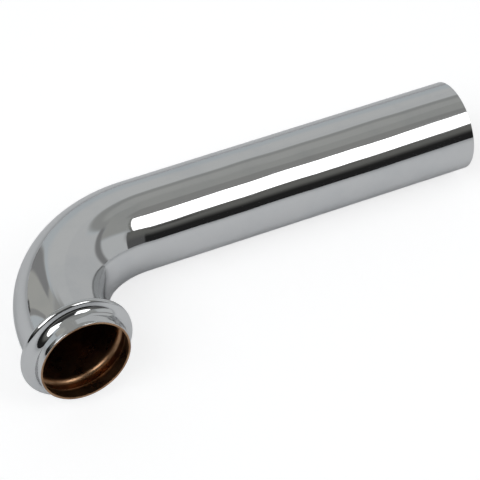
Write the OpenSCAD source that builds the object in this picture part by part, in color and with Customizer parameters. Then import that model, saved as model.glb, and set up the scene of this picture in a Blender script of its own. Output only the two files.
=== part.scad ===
// Trap wall tube: one drawn brass tube, bent to a right angle, with a rolled bead near its mouth.
// Millimetres. It lies as it comes to rest on a table: on the underside of its long leg and on
// the bead. The long leg runs along +X, the mouth looks along -Y and a little upwards.

/* [Tube] */
// Outside diameter of the tube
tube_d = 31.75; // [28:0.25:40]
// Thickness of the drawn wall
wall = 0.8; // [0.5:0.05:1.4]
// Straight length of the plain leg, from the bend to its cut end
plain_l = 124.4; // [60:0.5:250]
// Radius of the bend, on the tube's centre line
bend_r = 42; // [30:0.5:80]
// Short straight between the bend and the foot of the bead
neck_l = 0.6; // [0.2:0.1:20]

/* [Bead] */
// Height of the bead's crown above the tube
bead_rise = 3.9; // [2.5:0.1:5]
// Inside radius of the fold under the crown, where the wall turns back on itself
fold_r = 0.25; // [0.1:0.05:1.2]
// Steepness of the bead's face towards the mouth, in degrees from the tube
front_steep = 70; // [50:1:85]
// Steepness of the bead's face towards the bend, in degrees from the tube
back_steep = 80; // [50:1:85]
// Radius of the wide hollow that leads from the lip up to the bead
front_root_r = 3; // [0.8:0.1:5]
// Radius of the tighter hollow between the bead and the bend
back_root_r = 1.3; // [0.8:0.1:2.5]

/* [Lip] */
// Straight lip between the mouth and the wide hollow
lip_l = 3.1; // [1.5:0.1:15]
// How far the lip is swelled beyond the tube, on the radius
lip_swell = 0.2; // [0:0.05:0.8]

/* [Cut ends] */
// Rounding of the mouth's outside edge
rim_edge_r = 0.6; // [0.1:0.05:0.7]
// Rounding of the plain end's outside edge
plain_edge_r = 0.2; // [0.05:0.05:0.3]

/* [Hidden] */
$fn = 96;
chrome_colour = "silver";

// Radii of the tube and of the lip, outside
tube_r = tube_d / 2;
lip_r = tube_r + lip_swell;
// Outside radius of the crown, and the ring of centres that it is rolled round
crown_r = fold_r + wall;
crown_ring_r = tube_r + bead_rise - crown_r;

// One face of the bead is a hollow of radius r, a straight slope and the crown, and rises by h.
// face_turn is the slope's angle: the steepness, or less where the two arcs alone reach up to h.
function face_turn(h, r, steep) =
    min(steep, acos(max(0, 1 - h / (r + crown_r))));
// Length along the axis from the crown's centre to the centre of the hollow
function face_reach(h, r, turn) =
    (r + crown_r) * sin(turn) + (h - (r + crown_r) * (1 - cos(turn))) / tan(turn);

front_h = tube_r + bead_rise - lip_r;
front_turn = face_turn(front_h, front_root_r, front_steep);
front_reach = face_reach(front_h, front_root_r, front_turn);
back_turn = face_turn(bead_rise, back_root_r, back_steep);
back_reach = face_reach(bead_rise, back_root_r, back_turn);

// Distances from the mouth's rim, along the short leg
crown_y = lip_l + front_reach;
foot_y = crown_y + back_reach;
short_straight_l = foot_y + neck_l;
// Distances from the point where the two centre lines cross
mouth_l = bend_r + short_straight_l;
end_l = bend_r + plain_l;

// Tilt of the bend about the long leg, at which the bead's lowest point comes down to the table
crown_reach = mouth_l - crown_y;
rest_tilt = acos((tube_r - crown_r) / norm([crown_ring_r, crown_reach]))
    - atan2(crown_reach, crown_ring_r);

// Middle of the outline seen from above, which is the origin
low_x = -(tube_r + bead_rise);
low_y = -(mouth_l - rim_edge_r) * cos(rest_tilt)
    - (lip_r - rim_edge_r) * sin(rest_tilt) - rim_edge_r;
mid_x = (low_x + end_l) / 2;
mid_y = (low_y + tube_r) / 2;

// Points of an arc round [x, y], from angle a to angle b, 15 steps
function arc(x, y, r, a, b, steps = 15) =
    [for (i = [0:steps]) let (t = a + (b - a) * i / steps) [x + r * cos(t), y + r * sin(t)]];

// One face of the rolled end as [radius, distance from the rim], from the lip back to the tube.
// depth is how far the face lies under the outside of the wall.
function rolled_face(depth) = concat(
    arc(lip_r + front_root_r, lip_l, front_root_r + depth, 180, 180 - front_turn),
    arc(crown_ring_r, crown_y, crown_r - depth, -front_turn, back_turn),
    arc(tube_r + back_root_r, foot_y, back_root_r + depth, 180 + back_turn, 180)
);

// Lip, bead and neck: the wall's section carried round the short leg's centre line
module rolled_end() {
    rotate_extrude()
        polygon(concat(
            [[lip_r - wall, 0]],
            arc(lip_r - rim_edge_r, rim_edge_r, rim_edge_r, -90, 0, 8),
            rolled_face(0),
            [[tube_r, short_straight_l], [tube_r - wall, short_straight_l]],
            [for (i = [len(rolled_face(wall)) - 1:-1:0]) rolled_face(wall)[i]]
        ));
}

// A quarter turn of tube
module bend() {
    rotate_extrude(angle = 90)
        translate([bend_r, 0])
        difference() {
            circle(d = tube_d);
            circle(d = tube_d - 2 * wall);
        }
}

// The long plain leg, with its outside edge broken at the cut
module plain_leg() {
    rotate_extrude()
        polygon(concat(
            [[tube_r - wall, 0], [tube_r, 0]],
            arc(tube_r - plain_edge_r, plain_l - plain_edge_r, plain_edge_r, 0, 90, 4),
            [[tube_r - wall, plain_l]]
        ));
}

// The whole tube about the crossing of its centre lines, flat on the bend's own plane
module flat_tube() {
    union() {
        translate([bend_r, 0, 0]) rotate([0, 90, 0]) plain_leg();
        translate([bend_r, -bend_r, 0]) rotate([0, 0, 90]) bend();
        translate([0, -mouth_l, 0]) rotate([-90, 0, 0]) rolled_end();
    }
}

module wall_tube() {
    color(chrome_colour)
        translate([-mid_x, -mid_y, tube_r])
        rotate([-rest_tilt, 0, 0])
        flat_tube();
}

wall_tube();
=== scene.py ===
"""Looks of a chrome-plated wall tube for a basin trap: the tube, the table and the studio round it.
Metres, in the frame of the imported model: +X runs along the long leg, the mouth looks along -Y.
"""
import math

import bpy
import numpy as np
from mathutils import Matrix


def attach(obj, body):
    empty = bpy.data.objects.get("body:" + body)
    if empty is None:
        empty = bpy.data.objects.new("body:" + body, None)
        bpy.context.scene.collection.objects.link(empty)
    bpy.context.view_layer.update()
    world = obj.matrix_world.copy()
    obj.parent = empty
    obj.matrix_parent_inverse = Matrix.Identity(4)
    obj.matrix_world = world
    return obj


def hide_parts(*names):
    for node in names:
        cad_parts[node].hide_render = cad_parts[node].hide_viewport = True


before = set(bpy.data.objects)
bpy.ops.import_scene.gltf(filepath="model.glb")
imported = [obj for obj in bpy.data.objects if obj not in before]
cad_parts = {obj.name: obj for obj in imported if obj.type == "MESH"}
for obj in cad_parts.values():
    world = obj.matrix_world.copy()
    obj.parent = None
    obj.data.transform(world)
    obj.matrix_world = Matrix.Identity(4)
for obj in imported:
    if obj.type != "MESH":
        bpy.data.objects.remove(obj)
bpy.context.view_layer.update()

# ---------------------------------------------------------------- the wall tube
# One length of drawn brass tube, bent cold to a right angle. A bead is rolled out of its wall just
# behind the mouth, and the outside is polished and chrome plated; the inside stays bare brass.
MM = 0.001
TUBE_R = 15.875
WALL = 0.8
PLAIN_L = 124.4
BEND_R = 42.0
NECK_L = 0.6
BEAD_RISE = 3.9
FOLD_R = 0.25
FRONT_STEEP = math.radians(70)
BACK_STEEP = math.radians(80)
FRONT_ROOT_R = 3.0
BACK_ROOT_R = 1.3
LIP_L = 3.1
LIP_R = TUBE_R + 0.4
TIP_DRAW = 0.25            # the mouth is drawn in by this much, to lead into the trap
TIP_STEEP = math.radians(15)
TIP_R = 3.0
RIM_EDGE_R = 0.2
PLAIN_EDGE_R = 0.2
BURR_R = 0.08              # the inside corners are only deburred
RING_STEPS = 192

CROWN_R = FOLD_R + WALL
CROWN_RING_R = TUBE_R + BEAD_RISE - CROWN_R
TIP_CONE_L = (TIP_DRAW - TIP_R * (1 - math.cos(TIP_STEEP))) / math.tan(TIP_STEEP)
TIP_L = TIP_CONE_L + TIP_R * math.sin(TIP_STEEP)


def face_reach(rise, root_r, steep):
    """Length along the axis of one face of the bead: the sine of the slope times both radii, and
    the straight slope's share of the rise divided by the slope's tangent."""
    both = root_r + CROWN_R
    return both * math.sin(steep) + (rise - both * (1 - math.cos(steep))) / math.tan(steep)


CROWN_S = LIP_L + face_reach(TUBE_R + BEAD_RISE - LIP_R, FRONT_ROOT_R, FRONT_STEEP)
FOOT_S = CROWN_S + face_reach(BEAD_RISE, BACK_ROOT_R, BACK_STEEP)
SHORT_L = FOOT_S + NECK_L
MOUTH_L = BEND_R + SHORT_L
PATH_L = SHORT_L + BEND_R * math.pi / 2 + PLAIN_L
REST_TILT = (math.acos((TUBE_R - CROWN_R) / math.hypot(CROWN_RING_R, MOUTH_L - CROWN_S))
             - math.atan2(MOUTH_L - CROWN_S, CROWN_RING_R))


def corner(s, rho, r, start, end, steps, hollow=False):
    """Arc of the wall's section round the centre (s, rho): each point is the centre plus r times
    (cosine along the axis, sine along the radius). The normal points away from the centre, or
    towards it in a hollow. Rows are distance, radius and the normal's two shares."""
    a = np.linspace(start, end, steps)
    c, n = np.cos(a), np.sin(a)
    side = -1.0 if hollow else 1.0
    return np.column_stack([s + r * c, rho + r * n, side * c, side * n])


def run(s0, s1, rho, steps, out=1.0):
    """Straight stretch of wall at one radius: evenly spaced distances, normal along the radius."""
    s = np.linspace(s0, s1, steps)
    return np.column_stack([s, np.full(steps, rho), np.zeros(steps), np.full(steps, out)])


def bead_face(depth, steps):
    """Lip, bead and neck at a depth under the outside skin: hollow, slope, crown, slope, hollow.
    The three arcs share their centres at every depth, so the wall keeps its thickness."""
    q, h = math.pi / 2, math.pi
    return np.vstack([
        corner(LIP_L, LIP_R + FRONT_ROOT_R, FRONT_ROOT_R + depth, -q, -q + FRONT_STEEP, steps, True),
        corner(CROWN_S, CROWN_RING_R, CROWN_R - depth, q + FRONT_STEEP, q - BACK_STEEP, steps + 8),
        corner(FOOT_S, TUBE_R + BACK_ROOT_R, BACK_ROOT_R + depth, h + q - BACK_STEEP, h + q,
               steps - 6, True)])


def wall_section():
    """The wall's closed outline: out along the skin from the mouth to the plain end, round the cut
    and back along the inside. Returns the rows and the number of those on the plated outside."""
    q, h = math.pi / 2, math.pi
    plain, bend_s = PATH_L - PLAIN_EDGE_R, SHORT_L + BEND_R * q
    inner = TUBE_R - WALL
    rim_s = RIM_EDGE_R
    rim_rho = (LIP_R - TIP_DRAW + rim_s * math.tan(TIP_STEEP) - RIM_EDGE_R / math.cos(TIP_STEEP))
    outside = np.vstack([
        corner(rim_s, rim_rho, RIM_EDGE_R, h, q + TIP_STEEP, 10),
        corner(TIP_L, LIP_R - TIP_R, TIP_R, q + TIP_STEEP, q, 10),
        run(TIP_L + 0.2, LIP_L - 0.2, LIP_R, 4),
        bead_face(0.0, 30),
        run(FOOT_S + 0.1, SHORT_L, TUBE_R, 3),
        run(SHORT_L, bend_s, TUBE_R, 92)[1:],
        run(bend_s, plain, TUBE_R, 48)[1:-1],
        corner(plain, TUBE_R - PLAIN_EDGE_R, PLAIN_EDGE_R, q, 0, 8)])
    inside = np.vstack([
        corner(PATH_L - BURR_R, inner + BURR_R, BURR_R, 0, -q, 5),
        run(PATH_L - 0.5, bend_s, inner, 30, -1.0),
        run(bend_s, SHORT_L, inner, 60, -1.0)[1:],
        bead_face(WALL, 22)[::-1] * np.array([1, 1, -1, -1]),
        run(LIP_L - 0.3, TIP_L + 0.2, LIP_R - WALL, 4, -1.0),
        corner(TIP_L, LIP_R - TIP_R, TIP_R - WALL, q, q + TIP_STEEP, 6, True),
        corner(BURR_R, LIP_R - TIP_DRAW - WALL + BURR_R, BURR_R, -q, -h, 5)])
    return np.vstack([outside, inside]), len(outside)


def along_tube(s):
    """Centre line at path distance s: straight to the bend, a quarter circle, then straight. The
    direction is (sine, cosine) of the angle turned so far, and the side is square to it."""
    turn = np.clip((s - SHORT_L) / BEND_R, 0, math.pi / 2)
    rest = np.maximum(s - SHORT_L - BEND_R * math.pi / 2, 0)
    x = BEND_R * (1 - np.cos(turn)) + rest
    y = -MOUTH_L + np.minimum(s, SHORT_L) + BEND_R * np.sin(turn)
    zero = np.zeros_like(s)
    centre = np.stack([x, y, zero], -1)
    ahead = np.stack([np.sin(turn), np.cos(turn), zero], -1)
    side = np.stack([-np.cos(turn), np.sin(turn), zero], -1)
    return centre, ahead, side


def at_rest(p):
    """Turns flat-lying points about the long leg until the bead meets the table."""
    c, n = math.cos(REST_TILT), math.sin(REST_TILT)
    x, y, z = p[..., 0], p[..., 1], p[..., 2]
    return np.stack([x, y * c + z * n, z * c - y * n], -1)


def tube_mesh():
    """Carries the wall's outline along the centre line. A point is the centre plus its radius
    times (cosine of the ring angle to the side, sine of it upwards); normals follow the same
    sum with the outline's own normal. The outline and the ring both close on themselves."""
    section, plated = wall_section()
    s, rho, n_s, n_rho = section.T
    ring = np.linspace(0, 2 * math.pi, RING_STEPS, endpoint=False)
    centre, ahead, side = along_tube(s)
    up = np.array([0.0, 0.0, 1.0])
    spoke = np.cos(ring)[None, :, None] * side[:, None] + np.sin(ring)[None, :, None] * up
    points = at_rest(centre[:, None] + rho[:, None, None] * spoke)
    normals = at_rest(n_rho[:, None, None] * spoke + n_s[:, None, None] * ahead[:, None])
    # the origin is the middle of the outline seen from above, on the table
    low, high = points.min((0, 1)), points.max((0, 1))
    points -= np.array([(low[0] + high[0]) / 2, (low[1] + high[1]) / 2, -TUBE_R])
    rows, cols = len(section), RING_STEPS
    i, j = np.meshgrid(np.arange(rows), np.arange(cols), indexing="ij")
    i2, j2 = (i + 1) % rows, (j + 1) % cols
    quads = np.stack([i * cols + j, i * cols + j2, i2 * cols + j2, i2 * cols + j], -1)
    mesh = bpy.data.meshes.new("wall_tube_skin")
    mesh.from_pydata((points.reshape(-1, 3) * MM).tolist(), [], quads.reshape(-1, 4).tolist())
    mesh.normals_split_custom_set_from_vertices(normals.reshape(-1, 3).tolist())
    # UV: metres along the tube and metres round it, for the marks that follow the tube
    s_next = s[i2] + np.where(i2 == 0, 0.0, 0.0)
    around = TUBE_R * 2 * math.pi / cols
    uv = np.stack([np.stack([s[i], j * around], -1), np.stack([s[i], (j + 1) * around], -1),
                   np.stack([s_next, (j + 1) * around], -1), np.stack([s_next, j * around], -1)], 2)
    layer = mesh.uv_layers.new(name="along_and_round")
    layer.data.foreach_set("uv", (uv * MM).astype(np.float32).ravel())
    mesh.polygons.foreach_set("material_index", (i >= plated - 1).astype(np.int32).ravel())
    mesh.update()
    return mesh


def socket(tree, node, name, value):
    """Feeds an input: a link when value is an output, else the plain value."""
    if isinstance(value, bpy.types.NodeSocket):
        tree.links.new(value, node.inputs[name])
    else:
        node.inputs[name].default_value = value


def maths(tree, operation, a, b=0.0, c=0.0, clamp=False):
    """One Math node, and its output."""
    node = tree.nodes.new("ShaderNodeMath")
    node.operation, node.use_clamp = operation, clamp
    for k, value in enumerate((a, b, c)):
        socket(tree, node, k, value)
    return node.outputs[0]


def span(tree, value, low, high, to_low=0.0, to_high=1.0):
    """A smooth step of value from low to high, as a Map Range node's output."""
    node = tree.nodes.new("ShaderNodeMapRange")
    node.interpolation_type = "SMOOTHSTEP"
    for name, v in (("Value", value), ("From Min", low), ("From Max", high),
                    ("To Min", to_low), ("To Max", to_high)):
        socket(tree, node, name, v)
    return node.outputs["Result"]


def noise(tree, where, scale, detail=2.0, rough=0.5):
    """A Noise node's grey value at the place given."""
    node = tree.nodes.new("ShaderNodeTexNoise")
    tree.links.new(where, node.inputs["Vector"])
    node.inputs["Scale"].default_value = scale
    node.inputs["Detail"].default_value = detail
    node.inputs["Roughness"].default_value = rough
    return node.outputs["Fac"]


def blend(tree, mask, a, b):
    """Colour a where the mask is 0 and colour b where it is 1."""
    node = tree.nodes.new("ShaderNodeMix")
    node.data_type = "RGBA"
    socket(tree, node, 0, mask)
    for k, value in ((6, a), (7, b)):
        socket(tree, node, k, value if isinstance(value, bpy.types.NodeSocket) else (*value, 1.0))
    return node.outputs[2]


def stretched(tree, output, along, across):
    """The UV place scaled by different amounts along the tube and round it."""
    node = tree.nodes.new("ShaderNodeMapping")
    tree.links.new(output, node.inputs["Vector"])
    node.inputs["Scale"].default_value = (along, across, 1.0)
    return node.outputs["Vector"]


def bare_material(name):
    """A new material with an empty Principled shader, and its node tree."""
    material = bpy.data.materials.new(name)
    material.use_nodes = True
    tree = material.node_tree
    return material, tree, tree.nodes["Principled BSDF"]


def bump(tree, height, distance, strength=1.0, under=None):
    """A Bump node on a height map, over another normal where one is given."""
    node = tree.nodes.new("ShaderNodeBump")
    node.inputs["Strength"].default_value = strength
    node.inputs["Distance"].default_value = distance
    tree.links.new(height, node.inputs["Height"])
    if under is not None:
        tree.links.new(under, node.inputs["Normal"])
    return node.outputs["Normal"]


def chrome_plate():
    """Bright chrome: faint draw lines under the plate, slow waves left by the polishing wheel, and
    thin hazy smears where it was handled."""
    material, tree, shader = bare_material("chrome_plate")
    place = tree.nodes.new("ShaderNodeTexCoord")
    lines = noise(tree, stretched(tree, place.outputs["UV"], 18, 2600), 1.0, 3)
    waves = noise(tree, place.outputs["Object"], 26, 1.5)
    smears = noise(tree, place.outputs["Object"], 60, 4, 0.6)
    haze = span(tree, smears, 0.42, 0.72)
    rough = maths(tree, "MULTIPLY_ADD", haze, 0.03, 0.045)
    tree.links.new(maths(tree, "MULTIPLY_ADD", lines, 0.015, rough), shader.inputs["Roughness"])
    tint = blend(tree, haze, (0.610, 0.615, 0.620), (0.575, 0.585, 0.595))
    tree.links.new(tint, shader.inputs["Base Color"])
    shader.inputs["Metallic"].default_value = 1.0
    shader.inputs["Specular Tint"].default_value = (0.80, 0.80, 0.80, 1)
    slow = bump(tree, waves, 0.0006)
    tree.links.new(bump(tree, lines, 0.000002, under=slow), shader.inputs["Normal"])
    return material


def bare_brass():
    """The tube's unplated inside: brown, dull brass with dark stains and lengthways draw marks."""
    material, tree, shader = bare_material("bare_brass")
    place = tree.nodes.new("ShaderNodeTexCoord")
    stains = span(tree, noise(tree, place.outputs["Object"], 140, 5, 0.6), 0.35, 0.7)
    marks = noise(tree, stretched(tree, place.outputs["UV"], 40, 1500), 1.0, 3)
    tree.links.new(blend(tree, stains, (0.42, 0.26, 0.15), (0.24, 0.13, 0.07)),
                   shader.inputs["Base Color"])
    tree.links.new(maths(tree, "MULTIPLY_ADD", stains, 0.2, 0.26), shader.inputs["Roughness"])
    shader.inputs["Metallic"].default_value = 1.0
    tree.links.new(bump(tree, marks, 0.000006), shader.inputs["Normal"])
    return material


tube = bpy.data.objects.new("wall_tube_skin", tube_mesh())
bpy.context.collection.objects.link(tube)
tube.data.materials.append(chrome_plate())
tube.data.materials.append(bare_brass())
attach(tube, "root")
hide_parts("wall_tube")

# ---------------------------------------------------------------- the table
# A matt white sheet that the tube lies on. Its colour is painted darker from 8 cm to 50 cm out from
# the middle:
# # painted shade for the light falling off away from the lamps, which the plate mirrors. The camera
# sees it burnt out
# # to white, as in a packshot, but it keeps the tube's soft contact shadow.
TABLE_SIZE = 24.0


def table_sheet():
    """A flat square at height 0: four corners at plus and minus half its size."""
    h = TABLE_SIZE / 2
    mesh = bpy.data.meshes.new("table")
    mesh.from_pydata([(-h, -h, 0), (h, -h, 0), (h, h, 0), (-h, h, 0)], [], [(0, 1, 2, 3)])
    material = bpy.data.materials.new("white_sheet")
    material.use_nodes = True
    tree = material.node_tree
    tree.nodes.clear()
    paper = tree.nodes.new("ShaderNodeBsdfDiffuse")
    place = tree.nodes.new("ShaderNodeTexCoord")
    away = tree.nodes.new("ShaderNodeVectorMath")
    away.operation = "LENGTH"
    tree.links.new(place.outputs["Object"], away.inputs[0])
    # painted shade: the sheet's colour darkens from 8 cm to 50 cm away from the middle, for light
    # falling off away from the lamps
    painted_falloff_shade = span(tree, away.outputs["Value"], 0.08, 0.5)
    tree.links.new(blend(tree, painted_falloff_shade, (0.86, 0.87, 0.89), (0.62, 0.63, 0.65)), paper.inputs["Color"])
    glow = tree.nodes.new("ShaderNodeEmission")
    glow.inputs["Color"].default_value = (1, 1, 1, 1)
    glow.inputs["Strength"].default_value = 1.2
    path = tree.nodes.new("ShaderNodeLightPath")
    share = maths(tree, "MULTIPLY", path.outputs["Is Camera Ray"], 0.62)
    mix = tree.nodes.new("ShaderNodeMixShader")
    tree.links.new(share, mix.inputs["Fac"])
    tree.links.new(paper.outputs[0], mix.inputs[1])
    tree.links.new(glow.outputs[0], mix.inputs[2])
    out = tree.nodes.new("ShaderNodeOutputMaterial")
    tree.links.new(mix.outputs[0], out.inputs["Surface"])
    mesh.materials.append(material)
    return bpy.data.objects.new("table", mesh)


table = table_sheet()
bpy.context.collection.objects.link(table)

# ---------------------------------------------------------------- the studio
# What the plate mirrors: a pale room with two lit panels over the front, the dark gap under them,
# grey walls and a dim ceiling. It lies far away, so it is painted on the world by direction.


def panel_group():
    """Node group: 1 inside a panel and 0 outside, with soft edges. The panel lies between a left
    and a right bearing and a low and a high angle, in degrees. Slant leans both upright edges
    sideways for each degree of height, and fall drops the level edges for each degree of bearing."""
    group = bpy.data.node_groups.new("studio_panel", "ShaderNodeTree")
    names = ("Bearing", "Height", "Left", "Right", "Low", "High", "Soft", "Lean Left", "Lean Right",
             "Fall Low", "Fall High")
    for name in names:
        group.interface.new_socket(name, in_out="INPUT", socket_type="NodeSocketFloat")
    group.interface.new_socket("Mask", in_out="OUTPUT", socket_type="NodeSocketFloat")
    given = group.nodes.new("NodeGroupInput").outputs
    bearing, height, soft = given["Bearing"], given["Height"], given["Soft"]
    mid_b = maths(group, "MULTIPLY", maths(group, "ADD", given["Left"], given["Right"]), 0.5)
    mid_h = maths(group, "MULTIPLY", maths(group, "ADD", given["Low"], given["High"]), 0.5)
    off_b = maths(group, "SUBTRACT", bearing, mid_b)
    off_h = maths(group, "SUBTRACT", height, mid_h)
    half = maths(group, "MULTIPLY", soft, 0.5)
    mask = None
    for edge, lean, offset, value, sign in (
            ("Left", "Lean Left", off_h, bearing, 1), ("Right", "Lean Right", off_h, bearing, -1),
            ("Low", "Fall Low", off_b, height, 1), ("High", "Fall High", off_b, height, -1)):
        line = maths(group, "MULTIPLY_ADD", given[lean], offset, given[edge])
        past = maths(group, "MULTIPLY", maths(group, "SUBTRACT", value, line), sign)
        step = span(group, past, maths(group, "MULTIPLY", half, -1), half)
        mask = step if mask is None else maths(group, "MULTIPLY", mask, step)
    out = group.nodes.new("NodeGroupOutput")
    group.links.new(mask, out.inputs["Mask"])
    return group


PANELS = (
    # left, right, low, high, soft, lean left, lean right, fall low, fall high, colour
    (130, 181, 18, 50, 14, 0, 0, 0, 0, (0.635, 0.645, 0.640)),         # back wall, upper half
    (-181, 181, 49, 100, 7, 0, 0, 0, 0, (0.40, 0.405, 0.39)),          # ceiling
    (100, 165, 48, 55, 4, 0, 0, 0, 0, (0.355, 0.36, 0.35)),            # seam of wall and ceiling
    (112, 146, 55, 66, 5, 0, 0, 0, 0, (0.45, 0.455, 0.44)),            # pale strip of the ceiling
    (-20, 75, 58, 80, 9, 0, 0, 0, 0, (0.315, 0.315, 0.305)),           # ceiling over the lit panel
    (50, 92, -5, 35, 7, 0, 0, 0, 0, (0.615, 0.63, 0.63)),              # right wall
    (50, 96, 36, 56, 7, 0, 0, 0, 0, (0.40, 0.405, 0.39)),              # its dim top
    (96, 150, -5, 46, 4, 0.2, 0, 0, 0, (0.61, 0.62, 0.62)),            # side panel
    (90, 98.5, -5, 50, 4.5, 0.22, 0.22, 0, 0, (0.26, 0.26, 0.26)),     # gap beside it
    (-181, -141, 38, 62, 6, 0, 0, 0, 0, (0.40, 0.40, 0.385)),          # low ceiling at the back left
    (172, 181, 41, 62, 6, 0, 0, 0, 0, (0.40, 0.40, 0.385)),
    (-176, -142, -5, 39, 3, 0, 0, 0, 0, (0.49, 0.49, 0.46)),           # olive screen at the back left
    (-176, -166, -5, 35, 3, 0, 0, 0, 0, (0.29, 0.29, 0.29)),           # its shaded side
    (-146, -142, -2, 28, 1.5, 0, 0, 0, 0, (0.33, 0.33, 0.32)),
    (-151, -144, -2, 3, 2, 0, 0, 0, 0, (0.08, 0.08, 0.08)),
    (-130, 53.5, -2, 33, 1.5, 0, 0, 0, 0, (0.115, 0.115, 0.115)),      # dark under the lit panels
    (-130, 29, -2, 33, 3, 0, 0, 0, 0, (0.02, 0.02, 0.02)),
    (-130, 53.5, 19, 34, 13, 0, 0, 0, 0, (0.17, 0.17, 0.16)),          # its paler top
    (-40, 22, 28, 60, 4, 0, 0, 0, 0, (0.05, 0.05, 0.05)),              # gap between the lit panels
    (17, 57, 32, 62, 2, 0, 0.6, 0, -0.2, (0.17, 0.17, 0.155)),         # frame of the right lit panel
    (20, 53, 34, 60.5, 1.5, 0, 0.6, 0, -0.2, (3.6, 3.6, 3.6)),         # right lit panel
    (-105, -38, 31, 61, 1.5, 0, 0, 0, 0, (3.6, 3.6, 3.6)),             # left lit panel
)


def studio_world():
    """The world's colour by direction: bearing is 0 towards the front (-Y) and grows towards +X,
    height is the angle above the table. Each panel is laid over those before it. The tube and the
    table see the studio, and the camera sees white."""
    world = bpy.data.worlds.new("studio")
    bpy.context.scene.world = world
    world.use_nodes = True
    tree = world.node_tree
    tree.nodes.clear()
    where = tree.nodes.new("ShaderNodeTexCoord")
    split = tree.nodes.new("ShaderNodeSeparateXYZ")
    tree.links.new(where.outputs["Generated"], split.inputs[0])
    x, y, z = split.outputs
    bearing = maths(tree, "DEGREES", maths(tree, "ARCTAN2", x, maths(tree, "MULTIPLY", y, -1)))
    height = maths(tree, "DEGREES", maths(tree, "ARCSINE", z))
    group = panel_group()
    colour = (0.575, 0.615, 0.635)
    for *edges, paint in PANELS:
        node = tree.nodes.new("ShaderNodeGroup")
        node.node_tree = group
        names = ("Bearing", "Height", "Left", "Right", "Low", "High", "Soft", "Lean Left",
                 "Lean Right", "Fall Low", "Fall High")
        for name, value in zip(names, (bearing, height, *edges)):
            socket(tree, node, name, value)
        colour = blend(tree, node.outputs["Mask"], colour, paint)
    path = tree.nodes.new("ShaderNodeLightPath")
    colour = blend(tree, path.outputs["Is Camera Ray"], colour, (1.0, 1.0, 1.0))
    light = tree.nodes.new("ShaderNodeBackground")
    tree.links.new(colour, light.inputs["Color"])
    out = tree.nodes.new("ShaderNodeOutputWorld")
    tree.links.new(light.outputs[0], out.inputs["Surface"])


studio_world()

# ---------------------------------------------------------------- the camera
# A long lens from the front left and above, as the picture was taken.
eye = bpy.data.cameras.new("camera")
eye.sensor_width = 36.0
eye.lens = 210.18
eye.clip_end = 50.0
camera = bpy.data.objects.new("camera", eye)
camera.location = (-0.332366, -0.571793, 0.698814)
camera.rotation_euler = (math.radians(43.9069), math.radians(-3.2067), math.radians(-26.8052))
bpy.context.collection.objects.link(camera)
bpy.context.scene.camera = camera

bpy.context.scene.view_settings.view_transform = "Standard"

bpy.context.view_layer.update()
